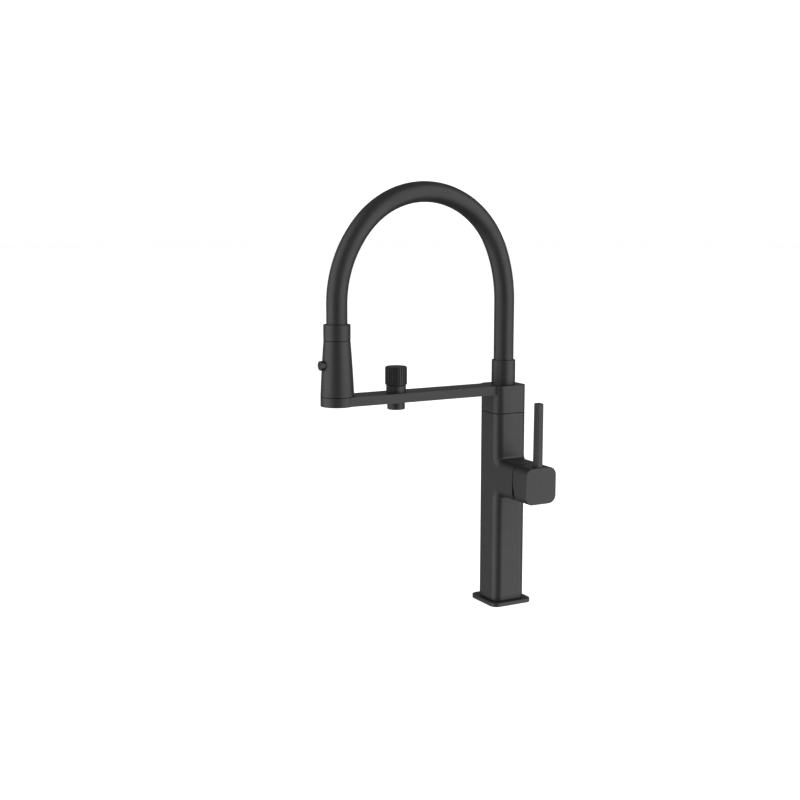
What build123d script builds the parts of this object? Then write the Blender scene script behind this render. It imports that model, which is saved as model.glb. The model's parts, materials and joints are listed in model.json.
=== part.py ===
from build123d import *
from math import cos, radians, sin, tan
import os

# Pull-down kitchen faucet. Millimetres, +Z up, origin at the middle of the base's underside.
# The arm points along -Y, over the sink, and the mixer handle is on the +X side.

os.makedirs("parts", exist_ok=True)

# Base and column
flange_side = 51.1
flange_corner = 7.6
flange_height = 4.4
gasket_side = 45.8
gasket_height = 1.6
column_seal_height = 0.5
column_side = 40.0
column_corner = 9.3
column_foot = flange_height + column_seal_height
joint_level = 218.0
joint_gap = 0.8
column_top = joint_level - joint_gap / 2
half_side = column_side / 2

# Water supply inside the column
insert_radius = 15.9
insert_height = 22.0
stud_offset = 11.0
stud_hole_radius = 3.4
tube_offset = 6.5
tube_radius = 4.0
tube_bore = 2.9
tube_seat_radius = 4.1
port_thread_radius = 4.5
tube_foot = 14.0
tube_head = 127.5
block_foot = 118.0
seal_groove_radius = 5.25

# Mixer boss, cartridge and handle, all on one axis along X
handle_level = 146.15
boss_end = 50.8
boss_height = 40.8
boss_fillet = 3.5
chamber_floor = 16.0
chamber_radius = 12.75
mouth_start = 41.5
mouth_radius = 15.0
pivot_x = 51.0
cap_start = 51.3
cap_end = 76.9
cap_width = 39.2
cap_height = 40.2
cap_corner = 9.0
cap_cavity_radius = 15.6
cap_cavity_end = 61.5
cap_wedge = 14.6
lever_front = 74.6
lever_back_foot = 64.8
lever_back_top = 65.9
lever_width = 7.2
lever_top = 235.9
inlet_port = (6.0, -4.0)
outlet_port = (0.0, 6.0)
disc_rest_offset = -2.45

# Swivel head: block, arm and docking ring
head_foot = joint_level + joint_gap / 2
head_top = 248.5
arm_width = 30.0
arm_height = 9.8
arm_foot = head_top - arm_height
reach = 205.6
ring_radius = 17.7
ring_bore = 13.5
block_fillet = 4.5
ring_fillet = 6.0
channel_level = 243.6
channel_radius = 2.4
nipple_hole_radius = 7.0

# Arm outlet with its knob
outlet_reach = 136.0
knob_radius = 11.75
knob_foot = 256.4
knob_top = 276.2
flute_count = 28
flute_radius = 0.75

# Hose arch: straight up, three tangent arcs, straight down into the spray
hose_radius = 11.05
hose_bore = 8.8
arch_foot = 341.0
first_radius = 156.0
first_turn = 22.0
last_radius = 125.0
last_turn = 42.5
middle_turn = 180.0 - first_turn - last_turn
first_share = first_radius * (1 - cos(radians(first_turn)))
last_share = last_radius * (1 - cos(radians(last_turn)))
middle_radius = (reach - first_share - last_share) / (cos(radians(first_turn)) + cos(radians(last_turn)))
arch_end = (
    arch_foot
    + (first_radius - middle_radius) * sin(radians(first_turn))
    - (last_radius - middle_radius) * sin(radians(last_turn))
)

# Spray head
spray_foot = 249.1
spray_top = 307.2
spray_foot_radius = 17.7
spray_waist_radius = 16.15
spray_top_radius = 14.1
spigot_radius = 13.1
spigot_foot = 243.4
collar_foot = 307.6
collar_top = 324.0
collar_radius = 14.2
button_level = 281.8
button_end = 20.4

outlet_centre = (0, -outlet_reach, 0)
spray_centre = (0, -reach, 0)


def turning_plane(centre):
    """Profile plane of an upright turned piece: local x is its radius, local y its height."""
    return Plane(origin=centre, x_dir=(1, 0, 0), z_dir=(0, -1, 0))


column_profile = turning_plane((0, 0, 0))
outlet_profile = turning_plane(outlet_centre)
spray_profile = turning_plane(spray_centre)
# Along the handle's axis: sections look along +X, and profiles have the radius up and X along the axis.
handle_section = Plane(origin=(0, 0, handle_level), x_dir=(0, 1, 0), z_dir=(1, 0, 0))
handle_profile = Plane(origin=(0, 0, handle_level), x_dir=(0, 0, 1), z_dir=(0, 1, 0))
# Along the spray button: sections look along -Y, from the spray's middle outwards.
button_section = Plane(origin=(0, -reach, button_level), x_dir=(1, 0, 0), z_dir=(0, -1, 0))
outlet_section = Plane(outlet_centre)
spray_section = Plane(spray_centre)


def turn(profile, *points, mode=Mode.ADD):
    """Turns a closed outline of (radius, height) points about the profile plane's y axis."""
    with BuildSketch(profile) as section:
        with BuildLine():
            Polyline(*points, close=True)
        make_face()
    revolve(section.sketch, axis=Axis(profile.origin, profile.y_dir), mode=mode)


def ring(plane, outer, inner, low, high, mode=Mode.ADD):
    """A straight ring, or a disc when inner is 0, from low to high along the plane's normal."""
    with BuildSketch(plane.offset(low)) as section:
        Circle(outer)
        if inner:
            Circle(inner, mode=Mode.SUBTRACT)
    extrude(section.sketch, amount=high - low, mode=mode)


def bores(plane, places, radius, low, high):
    """Straight holes of one radius at several places, from low to high along the plane's normal."""
    with BuildSketch(plane.offset(low)) as section:
        with Locations(*places):
            Circle(radius)
    extrude(section.sketch, amount=high - low, mode=Mode.SUBTRACT)


def save(piece, name):
    """Labels a finished piece and writes it as its own STEP file."""
    piece.part.label = name
    export_step(piece.part, f"parts/{name}.step")


# ---- Base ----

with BuildPart() as base_flange:
    with BuildSketch():
        RectangleRounded(flange_side, flange_side, flange_corner)
        Circle(insert_radius + 0.3, mode=Mode.SUBTRACT)
    extrude(amount=flange_height)
    with BuildSketch():
        RectangleRounded(gasket_side + 0.2, gasket_side + 0.2, flange_corner - 2)
    extrude(amount=gasket_height, mode=Mode.SUBTRACT)
    fillet(base_flange.faces().sort_by(Axis.Z)[-1].outer_wire().edges(), 0.7)
save(base_flange, "base_flange")

with BuildPart() as base_gasket:
    with BuildSketch():
        RectangleRounded(gasket_side, gasket_side, flange_corner - 2.1)
        Circle(insert_radius + 0.8, mode=Mode.SUBTRACT)
    extrude(amount=gasket_height)
save(base_gasket, "base_gasket")

with BuildPart() as column_seal:
    with BuildSketch(Plane.XY.offset(flange_height)):
        RectangleRounded(column_side - 2, column_side - 2, column_corner - 1)
        Circle(insert_radius + 0.5, mode=Mode.SUBTRACT)
    extrude(amount=column_seal_height)
save(column_seal, "column_seal")

tube_places = [(0, tube_offset), (0, -tube_offset)]
with BuildPart() as base_insert:
    ring(Plane.XY, insert_radius, 0, 0, insert_height)
    bores(Plane.XY, [(stud_offset, 0), (-stud_offset, 0)], stud_hole_radius, 0, 16)
    bores(Plane.XY, tube_places, port_thread_radius, 0, 10)
    bores(Plane.XY, tube_places, tube_bore, 10, tube_foot)
    bores(Plane.XY, tube_places, tube_seat_radius, tube_foot, insert_height)
    bores(Plane.XY, tube_places, seal_groove_radius, 17, 19)
save(base_insert, "base_insert")

for name, side in (("supply_tube_hot", 1), ("supply_tube_cold", -1)):
    with BuildPart() as supply_tube:
        ring(Plane((0, side * tube_offset, 0)), tube_radius, tube_bore, tube_foot, tube_head)
    save(supply_tube, name)

with BuildPart() as supply_seals:
    for level in (17.1, 121.1):
        for side in (1, -1):
            seal_section = Plane((0, side * tube_offset, level))
            ring(seal_section, seal_groove_radius - 0.05, tube_radius + 0.02, 0, 1.8)
save(supply_seals, "supply_seals")

# ---- Column, with the mixer boss as one casting ----

boss_foot = handle_level - boss_height / 2
boss_top = handle_level + boss_height / 2
with BuildPart() as body_column:
    with BuildSketch(Plane.XZ):
        with BuildLine():
            Polyline(
                (-half_side, column_foot),
                (half_side, column_foot),
                (half_side, boss_foot),
                (boss_end, boss_foot),
                (boss_end, boss_top),
                (half_side, boss_top),
                (half_side, column_top),
                (-half_side, column_top),
                close=True,
            )
        outline = make_face()
        inner_corners = outline.vertices().filter_by_position(Axis.X, half_side - 0.1, half_side + 0.1)
        inner_corners = inner_corners.filter_by_position(Axis.Z, boss_foot - 1, boss_top + 1)
        fillet(inner_corners, boss_fillet)
    extrude(amount=half_side, both=True)
    # The long corners run round the column and out along the boss as one rounding.
    side_edges = ShapeList()
    for side_face in (body_column.faces().sort_by(Axis.Y)[0], body_column.faces().sort_by(Axis.Y)[-1]):
        for edge in side_face.edges():
            middle = edge.center()
            at_end = middle.X > boss_end - 0.1 or middle.Z < column_foot + 0.1 or middle.Z > column_top - 0.1
            if not at_end:
                side_edges.append(edge)
    fillet(side_edges, column_corner)
    # Hollow foot, with the thread that takes the base insert
    ring(Plane.XY, insert_radius - 0.4, 0, column_foot, block_foot, mode=Mode.SUBTRACT)
    ring(Plane.XY, insert_radius + 0.1, 0, column_foot, 24, mode=Mode.SUBTRACT)
    # Seats of the supply tubes and the ways from them to the cartridge
    bores(Plane.XY, tube_places, tube_seat_radius, block_foot, tube_head + 0.5)
    bores(Plane.XY, tube_places, seal_groove_radius, 121, 123)
    bores(Plane.XY, tube_places, 2.8, tube_head + 0.5, handle_level + inlet_port[1])
    ring(handle_section, chamber_radius, 0, chamber_floor, boss_end, mode=Mode.SUBTRACT)
    ring(handle_section, mouth_radius, 0, mouth_start, boss_end, mode=Mode.SUBTRACT)
    bores(handle_section, [inlet_port, (-inlet_port[0], inlet_port[1])], 2.4, -2, chamber_floor)
    bores(handle_section, [outlet_port], 2.6, -2, chamber_floor)
    # Mixed water rises to the thread of the swivel post
    ring(Plane.XY, 4.0, 0, handle_level + outlet_port[1], 172, mode=Mode.SUBTRACT)
    ring(Plane.XY, 8.5, 0, 172, 190, mode=Mode.SUBTRACT)
    ring(Plane.XY, 13.0, 0, 190, column_top, mode=Mode.SUBTRACT)
save(body_column, "body_column")

# ---- Mixer cartridge, from the chamber floor outwards ----

ports = [inlet_port, (-inlet_port[0], inlet_port[1]), outlet_port]

with BuildPart() as cartridge_seal:
    ring(handle_section, 12.3, 0, chamber_floor, 18)
    bores(handle_section, ports, 2.6, chamber_floor, 18)
save(cartridge_seal, "cartridge_seal")

with BuildPart() as cartridge_base:
    ring(handle_section, 12.5, 0, 18, 22)
    bores(handle_section, ports, 2.3, 18, 22)
save(cartridge_base, "cartridge_base")

with BuildPart() as fixed_disc:
    ring(handle_section, 9.9, 0, 22, 25)
    bores(handle_section, ports, 2.2, 22, 25)
save(fixed_disc, "fixed_disc")

with BuildPart() as cartridge_housing:
    turn(handle_profile, (10.1, 22), (12.5, 22), (12.5, 42), (7.6, 42), (7.6, 40.1), (10.1, 40.1))
save(cartridge_housing, "cartridge_housing")

with BuildPart() as cartridge_nut:
    ring(handle_section, 14.85, 9.0, 42, 48)
    with BuildSketch(handle_section.offset(45)):
        with PolarLocations(11.9, 6):
            Rectangle(6.2, 3.0)
    extrude(amount=3, mode=Mode.SUBTRACT)
save(cartridge_nut, "cartridge_nut")

# The dome is part of a sphere about the handle's tilt pivot, so the cap turns and tilts round it.
dome_radius = 14.8
dome_inner = 13.3


def dome_width(radius, x):
    return (radius**2 - (x - pivot_x) ** 2) ** 0.5


with BuildPart() as cartridge_dome:
    with BuildSketch(handle_profile):
        with BuildLine():
            Line((dome_width(dome_inner, 48), 48), (dome_width(dome_radius, 48), 48))
            ThreePointArc(
                (dome_width(dome_radius, 48), 48), (dome_radius, pivot_x), (dome_width(dome_radius, 57), 57)
            )
            Polyline(
                (dome_width(dome_radius, 57), 57), (9.4, 57), (9.4, 55.8), (dome_width(dome_inner, 55.8), 55.8)
            )
            ThreePointArc(
                (dome_width(dome_inner, 55.8), 55.8), (dome_inner, pivot_x), (dome_width(dome_inner, 48), 48)
            )
        make_face()
    revolve(axis=Axis((0, 0, handle_level), (1, 0, 0)))
save(cartridge_dome, "cartridge_dome")

# ---- Temperature carrier: turns about the boss axis and holds the tilt pin ----

with BuildPart() as stem_carrier:
    ring(handle_section, 10.0, 0, 31.9, 40)
    ring(handle_section, 7.5, 0, 40, 55.5)
    with BuildSketch(handle_section.offset(31.9)):
        with Locations((0, 2.3)):
            Rectangle(4.8, 10.4)
    extrude(amount=8.2, mode=Mode.SUBTRACT)
    with BuildSketch(handle_section.offset(40)):
        Rectangle(6.0, 10.6)
    extrude(amount=15.5, mode=Mode.SUBTRACT)
    with Locations(Location((pivot_x, 0, handle_level), (90, 0, 0))):
        Cylinder(1.5, 20, mode=Mode.SUBTRACT)
save(stem_carrier, "stem_carrier")

with BuildPart() as stem_pin:
    with BuildSketch(Plane.XZ.offset(-7.2)):
        with Locations((pivot_x, handle_level)):
            Circle(1.5)
    extrude(amount=14.4)
save(stem_pin, "stem_pin")

# ---- Moving disc: slides in the carrier's direction as the handle tilts ----

disc_section = Plane(
    origin=(0, 0, handle_level + disc_rest_offset), x_dir=(0, 1, 0), z_dir=(1, 0, 0)
)
with BuildPart() as moving_disc:
    ring(disc_section, 7.2, 0, 25.05, 28)
    with BuildSketch(disc_section.offset(25.05)):
        with Locations((0, 1.5)):
            SlotOverall(7, 3.6, rotation=90)
    extrude(amount=1.5, mode=Mode.SUBTRACT)
save(moving_disc, "moving_disc")

with BuildPart() as disc_driver:
    ring(disc_section, 7.0, 0, 28, 31.7)
    with BuildSketch(handle_section.offset(29)):
        Rectangle(4.4, 5.2)
    extrude(amount=2.7, mode=Mode.SUBTRACT)
save(disc_driver, "disc_driver")

# ---- Handle: cap and lever in one casting, on the cartridge's stem ----

cap_foot = handle_level - cap_height / 2
cap_roof = handle_level + cap_height / 2
with BuildPart() as lever_handle:
    with BuildSketch(handle_section.offset(cap_start)):
        RectangleRounded(cap_width, cap_height, cap_corner)
    extrude(amount=cap_end - cap_start)
    with BuildSketch(Plane.XZ):
        with BuildLine():
            Polyline(
                (lever_back_foot, handle_level + 5),
                (lever_front, handle_level + 5),
                (lever_front, lever_top),
                (lever_back_top, lever_top),
                close=True,
            )
        make_face()
    extrude(amount=lever_width / 2, both=True)
    fillet(lever_handle.faces().sort_by(Axis.X)[-1].outer_wire().edges(), 0.8)
    lever_edges = lever_handle.edges().filter_by_position(Axis.Z, cap_roof + 1, lever_top + 1)
    fillet(lever_edges, 1.1)
    foot_edges = lever_handle.edges().filter_by_position(Axis.Z, cap_roof - 0.02, cap_roof + 0.02)
    foot_edges = foot_edges.filter_by_position(Axis.Y, -lever_width / 2 - 0.1, lever_width / 2 + 0.1)
    foot_edges = foot_edges.filter_by_position(Axis.X, lever_back_foot - 0.5, lever_front + 0.5)
    fillet(foot_edges, 1.0)
    # The lower half of the back is cut away on a slope, so that the handle can tilt outwards
    wedge_depth = cap_height * tan(radians(cap_wedge))
    with BuildSketch(Plane.XZ):
        with BuildLine():
            Polyline(
                (cap_start - 1, handle_level),
                (cap_start, handle_level),
                (cap_start + wedge_depth, handle_level - cap_height),
                (cap_start - 1, handle_level - cap_height),
                close=True,
            )
        make_face()
    extrude(amount=cap_width, both=True, mode=Mode.SUBTRACT)
    ring(handle_section, cap_cavity_radius, 0, cap_start, cap_cavity_end, mode=Mode.SUBTRACT)
    with BuildSketch(handle_section.offset(cap_cavity_end)):
        Rectangle(5.9, 7.1)
    extrude(amount=8, mode=Mode.SUBTRACT)
    screw_section = Plane((66, 0, 0))
    ring(screw_section, 2.05, 0, cap_foot - 1, handle_level, mode=Mode.SUBTRACT)
    ring(screw_section, 2.8, 0, cap_foot - 1, cap_foot + 3, mode=Mode.SUBTRACT)
save(lever_handle, "lever_handle")

with BuildPart() as mixer_stem:
    with BuildSketch(handle_section.offset(54)):
        Rectangle(5.8, 7.0)
    extrude(amount=15.3)
    with BuildSketch(handle_section.offset(46)):
        Rectangle(5.8, 6.0)
    extrude(amount=8)
    with BuildSketch(handle_section.offset(29.6)):
        Rectangle(4.0, 4.0)
    extrude(amount=16.4)
    with Locations(Location((pivot_x, 0, handle_level), (90, 0, 0))):
        Cylinder(1.56, 20, mode=Mode.SUBTRACT)
save(mixer_stem, "mixer_stem")

with BuildPart() as handle_screw:
    ring(screw_section, 2.0, 0, handle_level - 11.6, handle_level - 3.6)
    with BuildSketch(Plane((66, 0, handle_level - 11.6))):
        RegularPolygon(1.15, 6)
    extrude(amount=2.4, mode=Mode.SUBTRACT)
save(handle_screw, "handle_screw")

with BuildPart() as index_plug:
    ring(screw_section, 2.7, 0, cap_foot + 0.2, cap_foot + 2.9)
    chamfer(index_plug.faces().sort_by(Axis.Z)[0].outer_wire().edges(), 0.4)
save(index_plug, "index_plug")

# ---- Swivel joint at the top of the column ----

post_seal_levels = (221.0, 232.0)
lock_level = 228.0
with BuildPart() as swivel_post:
    turn(
        column_profile,
        (5.0, 174),
        (8.4, 174),
        (8.4, 190),
        (12.0, 190),
        (12.0, 195),
        (8.0, 195),
        (8.0, 238),
        (5.0, 238),
    )
    for level in post_seal_levels:
        ring(Plane.XY, 9.0, 6.6, level, level + 2.2, mode=Mode.SUBTRACT)
    ring(Plane.XY, 9.0, 7.0, lock_level - 2, lock_level + 2, mode=Mode.SUBTRACT)
save(swivel_post, "swivel_post")

with BuildPart() as post_seals:
    for level in post_seal_levels:
        ring(Plane.XY, 8.03, 6.62, level + 0.1, level + 2.1)
save(post_seals, "post_seals")

with BuildPart() as glide_washer:
    ring(Plane.XY, 16.5, 11.2, column_top, column_top + joint_gap - 0.1)
save(glide_washer, "glide_washer")

with BuildPart() as swivel_bush:
    ring(Plane.XY, 10.9, 8.06, head_foot + 0.6, 237)
    bores(Plane.XZ, [(0, lock_level)], 2.1, -12, 0)
save(swivel_bush, "swivel_bush")

with BuildPart() as swivel_lock_screw:
    turn(
        Plane(origin=(0, 0, lock_level), x_dir=(1, 0, 0), z_dir=(0, 0, 1)),
        (0, 7.25),
        (1.4, 7.25),
        (2.0, 8.4),
        (2.0, 16.0),
        (0, 16.0),
    )
    with BuildSketch(Plane.XZ.offset(-16)):
        with Locations((0, lock_level)):
            RegularPolygon(1.15, 6)
    extrude(amount=2.2, mode=Mode.SUBTRACT)
save(swivel_lock_screw, "swivel_lock_screw")

# ---- Swivel head: block, arm and docking ring in one casting ----

with BuildPart() as swivel_arm:
    with BuildSketch(Plane.XY.offset(arm_foot)):
        RectangleRounded(column_side, column_side, column_corner)
        with Locations((0, -reach / 2)):
            Rectangle(arm_width, reach)
        with Locations((0, -reach)):
            Circle(ring_radius)
    extrude(amount=arm_height)
    # Upright concave corners, where the arm leaves the block and where it meets the ring
    upright = swivel_arm.edges().filter_by(Axis.Z)
    block_corners = upright.filter_by_position(Axis.Y, -half_side, -half_side + 4)
    block_corners = block_corners.filter_by_position(Axis.X, -arm_width / 2 - 0.1, arm_width / 2 + 0.1)
    fillet([edge for edge in block_corners if abs(abs(edge.center().X) - arm_width / 2) < 0.1], block_fillet)
    ring_corners = swivel_arm.edges().filter_by(Axis.Z).filter_by_position(Axis.Y, -reach + 5, -reach + 15)
    fillet(ring_corners, ring_fillet)
    with BuildSketch(Plane.XY.offset(head_foot)):
        RectangleRounded(column_side, column_side, column_corner)
    extrude(amount=arm_foot - head_foot)
    # Swivel cavity, water chamber and the riser's thread
    ring(Plane.XY, 11.0, 0, head_foot, 237.2, mode=Mode.SUBTRACT)
    ring(Plane.XY, 9.0, 0, 237.2, 240.5, mode=Mode.SUBTRACT)
    ring(Plane.XY, nipple_hole_radius, 0, 240.5, head_top, mode=Mode.SUBTRACT)
    bores(Plane.XZ, [(0, lock_level)], 2.05, -half_side, -10)
    # Water way along the arm to its outlet
    bores(Plane.XZ, [(0, channel_level)], channel_radius, 6, outlet_reach - 6)
    ring(outlet_section, 7.0, 0, arm_foot, head_top, mode=Mode.SUBTRACT)
    # Docking ring, with its groove for the magnet
    ring(spray_section, ring_bore, 0, arm_foot, head_top, mode=Mode.SUBTRACT)
    ring(spray_section, 16.6, 14.2, head_top - 4.5, head_top, mode=Mode.SUBTRACT)
save(swivel_arm, "swivel_arm")

with BuildPart() as dock_magnet:
    ring(spray_section, 16.55, 14.25, head_top - 4.5, head_top - 1.1)
save(dock_magnet, "dock_magnet")

with BuildPart() as dock_seat:
    ring(spray_section, 16.55, 14.25, head_top - 1.1, head_top + 0.3)
save(dock_seat, "dock_seat")

# ---- Riser ----

with BuildPart() as riser_nipple:
    turn(
        column_profile,
        (3.2, 241.3),
        (6.95, 241.3),
        (6.95, head_top),
        (10.3, head_top),
        (10.3, head_top + 3),
        (4.7, head_top + 3),
        (4.7, 264),
        (4.2, 266),
        (3.2, 266),
    )
    bores(Plane.XZ, [(0, channel_level)], channel_radius, 0, 7.5)
save(riser_nipple, "riser_nipple")

sleeve_top = 275.9
with BuildPart() as riser_sleeve:
    turn(
        column_profile,
        (10.5, head_top),
        (13.25, head_top),
        (13.15, sleeve_top),
        (11.35, sleeve_top),
        (11.35, head_top + 1.4),
        (10.5, head_top + 1.4),
    )
    fillet(riser_sleeve.edges().filter_by(GeomType.CIRCLE).group_by(Axis.Z)[-1], 0.5)
save(riser_sleeve, "riser_sleeve")

with BuildPart() as upper_ferrule:
    ring(Plane.XY, 8.0, 7.05, 253, 264)
save(upper_ferrule, "upper_ferrule")

# ---- Hose: rubber water hose, support spring and outer sleeve along one arch ----


def hose_tube(outer, inner, start, end):
    """A tube along the arch, from a height on the riser side to a height on the spray side."""
    with BuildLine(Plane.YZ) as route:
        rise = Line((0, start), (0, arch_foot))
        first = JernArc(rise @ 1, rise % 1, first_radius, first_turn)
        middle = JernArc(first @ 1, first % 1, middle_radius, middle_turn)
        last = JernArc(middle @ 1, middle % 1, last_radius, last_turn)
        Line(last @ 1, (-reach, end))
    with BuildSketch(Plane.XY.offset(start)) as section:
        Circle(outer)
        Circle(inner, mode=Mode.SUBTRACT)
    sweep(section.sketch, path=route.line)
    return route.wire().length


with BuildPart() as water_hose:
    hose_length = hose_tube(7.0, 4.75, 252, 315)
save(water_hose, "water_hose")

with BuildPart() as hose_spring:
    hose_tube(8.4, 7.3, 268, 328)
save(hose_spring, "hose_spring")

with BuildPart() as hose_sleeve:
    sleeve_length = hose_tube(hose_radius, hose_bore, 256, 315)
save(hose_sleeve, "hose_sleeve")

print("water hose length", round(hose_length, 1), "outer sleeve length", round(sleeve_length, 1))
print("arch middle radius", round(middle_radius, 2), "arch ends at", round(arch_end, 2))

# ---- Hose end: connector, ferrule and collar ----

with BuildPart() as hose_connector:
    turn(
        spray_profile,
        (9.06, collar_foot + 0.2),
        (11.6, collar_foot + 0.2),
        (11.6, 314.5),
        (4.7, 314.5),
        (4.7, 325),
        (4.2, 327),
        (3.2, 327),
        (3.2, 312),
        (9.06, 312),
    )
save(hose_connector, "hose_connector")

with BuildPart() as lower_ferrule:
    ring(spray_section, 8.0, 7.05, 316, 326)
save(lower_ferrule, "lower_ferrule")

with BuildPart() as spray_collar:
    turn(
        spray_profile,
        (11.7, collar_foot),
        (collar_radius, collar_foot),
        (collar_radius, collar_top),
        (11.35, collar_top),
        (11.35, collar_top - 2),
        (11.7, collar_top - 2),
    )
    fillet(spray_collar.edges().filter_by(GeomType.CIRCLE).group_by(Axis.Z)[-1], 0.5)
save(spray_collar, "spray_collar")

# ---- Spray head ----

with BuildPart() as spray_body:
    with BuildSketch(spray_profile):
        with BuildLine():
            Polyline(
                (12.2, spigot_foot), (spigot_radius, spigot_foot), (spigot_radius, spray_foot),
                (spray_foot_radius, spray_foot),
            )
            ThreePointArc(
                (spray_foot_radius, spray_foot),
                (spray_waist_radius, (spray_foot + spray_top) / 2),
                (spray_top_radius, spray_top),
            )
            Polyline(
                (spray_top_radius, spray_top), (11.9, spray_top), (11.9, 300), (13.2, 290), (13.2, 256),
                (12.2, 256), (12.2, spigot_foot),
            )
        make_face()
    revolve(axis=Axis(spray_centre, (0, 0, 1)))
    fillet(spray_body.edges().filter_by(GeomType.CIRCLE).group_by(Axis.Z)[-1].sort_by(SortBy.LENGTH)[-1], 0.4)
    ring(spray_section, 16.4, 14.0, spray_foot, spray_foot + 2.5, mode=Mode.SUBTRACT)
    ring(button_section, 5.35, 0, 10, 22, mode=Mode.SUBTRACT)
save(spray_body, "spray_body")

with BuildPart() as dock_armature:
    ring(spray_section, 16.35, 14.05, spray_foot + 0.05, spray_foot + 2.45)
save(dock_armature, "dock_armature")

nozzle_rings = ((7.5, 12), (10.0, 18))
with BuildPart() as spray_face:
    ring(spray_section, 12.1, 5.6, 243.6, 245.6)
    for radius, count in nozzle_rings:
        with BuildSketch(spray_section.offset(243.6)):
            with PolarLocations(radius, count):
                Circle(0.95)
        extrude(amount=2, mode=Mode.SUBTRACT)
save(spray_face, "spray_face")

with BuildPart() as spray_nozzles:
    ring(spray_section, 11.9, 5.8, 245.6, 246.8)
    for radius, count in nozzle_rings:
        with BuildSketch(spray_section.offset(243.1)):
            with PolarLocations(radius, count):
                Circle(0.9)
        extrude(amount=2.5)
        with BuildSketch(spray_section.offset(243.1)):
            with PolarLocations(radius, count):
                Circle(0.4)
        extrude(amount=3.7, mode=Mode.SUBTRACT)
save(spray_nozzles, "spray_nozzles")

with BuildPart() as spray_aerator:
    ring(spray_section, 5.5, 4.6, 243.9, 252)
    ring(spray_section, 4.6, 0, 244.6, 245.4)
    with BuildSketch(spray_section.offset(244.6)):
        with GridLocations(1.3, 1.3, 5, 5):
            Rectangle(0.9, 0.9)
    extrude(amount=0.8, mode=Mode.SUBTRACT)
save(spray_aerator, "spray_aerator")

with BuildPart() as selector_body:
    ring(spray_section, 11.7, 0, 256.4, 296)
    ring(spray_section, 7.3, 6.3, 246.8, 256.4)
    ring(spray_section, 3.0, 0, 256.4, 296, mode=Mode.SUBTRACT)
    bores(spray_section, [(0, 8.6), (8.6, 0), (-8.6, 0)], 1.8, 256.4, button_level)
    ring(button_section, 3.2, 0, -10.9, 12, mode=Mode.SUBTRACT)
    ring(button_section, 5.5, 0, 8.4, 12, mode=Mode.SUBTRACT)
save(selector_body, "selector_body")

with BuildPart() as inlet_nipple:
    turn(
        spray_profile,
        (3.2, 296),
        (11.4, 296),
        (11.4, 300),
        (9.0, 300),
        (9.0, 311.5),
        (5.6, 311.5),
        (5.6, 300),
        (3.2, 300),
    )
    ring(spray_section, 9.5, 7.8, 308, 310, mode=Mode.SUBTRACT)
save(inlet_nipple, "inlet_nipple")

with BuildPart() as nipple_seal:
    ring(spray_section, 9.03, 7.82, 308.1, 309.9)
save(nipple_seal, "nipple_seal")

with BuildPart() as check_valve:
    turn(
        spray_profile,
        (2.4, 300),
        (5.5, 300),
        (5.5, 309),
        (3.6, 309),
        (3.6, 303),
        (2.4, 301.5),
    )
save(check_valve, "check_valve")

# ---- Spray button: cap and spool in one, with its return spring and seals ----

button_seal_places = (-6.0, 3.0)
with BuildPart() as mode_button:
    ring(button_section, 5.05, 0, 14, button_end)
    fillet(mode_button.faces().sort_by(Axis.Y)[0].outer_wire().edges(), 1.0)
    ring(button_section, 3.1, 0, -8, 14)
    for place in button_seal_places:
        ring(button_section, 4.0, 2.2, place, place + 1.6, mode=Mode.SUBTRACT)
save(mode_button, "mode_button")

with BuildPart() as button_seals:
    for place in button_seal_places:
        ring(button_section, 3.15, 2.22, place + 0.1, place + 1.5)
save(button_seals, "button_seals")

# Drawn at its pressed length, four turns of wire between the selector and the button's cap
spring_wire = 0.3
with BuildPart() as button_spring:
    with BuildLine() as coil:
        Helix(
            pitch=0.72,
            height=2.16,
            radius=4.2,
            center=(0, -reach - 8.4 - spring_wire, button_level),
            direction=(0, -1, 0),
        )
    with BuildSketch(Plane(origin=coil.line @ 0, z_dir=coil.line % 0)):
        Circle(spring_wire)
    sweep()
save(button_spring, "button_spring")

# ---- Arm outlet: valve body through the arm, knob above, nozzle below ----

with BuildPart() as outlet_valve_body:
    turn(
        outlet_profile,
        (5.2, 236.0),
        (6.95, 236.0),
        (6.95, head_top),
        (8.4, head_top),
        (8.4, 257.5),
        (6.2, 257.5),
        (6.2, 268),
        (3.56, 268),
        (3.56, 239),
        (5.2, 239),
    )
    bores(Plane.XZ, [(0, channel_level)], 2.2, outlet_reach - 7.5, outlet_reach)
save(outlet_valve_body, "outlet_valve_body")

with BuildPart() as outlet_collar:
    ring(outlet_section, 10.6, 8.5, head_top, 255.9)
    fillet(outlet_collar.faces().sort_by(Axis.Z)[-1].outer_wire().edges(), 0.4)
save(outlet_collar, "outlet_collar")

spindle_seal_levels = (250.0, 254.0)
with BuildPart() as outlet_spindle:
    turn(outlet_profile, (0, 239.2), (3.5, 239.2), (3.5, 268.5), (3.0, 268.5), (3.0, 273.8), (0, 273.8))
    bores(Plane.XZ, [(0, channel_level)], 1.8, outlet_reach - 5, outlet_reach)
    ring(outlet_section, 1.8, 0, 239.2, channel_level, mode=Mode.SUBTRACT)
    for level in spindle_seal_levels:
        ring(outlet_section, 4.0, 2.6, level, level + 1.6, mode=Mode.SUBTRACT)
save(outlet_spindle, "outlet_spindle")

with BuildPart() as spindle_seals:
    for level in spindle_seal_levels:
        ring(outlet_section, 3.53, 2.62, level + 0.1, level + 1.5)
save(spindle_seals, "spindle_seals")

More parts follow.
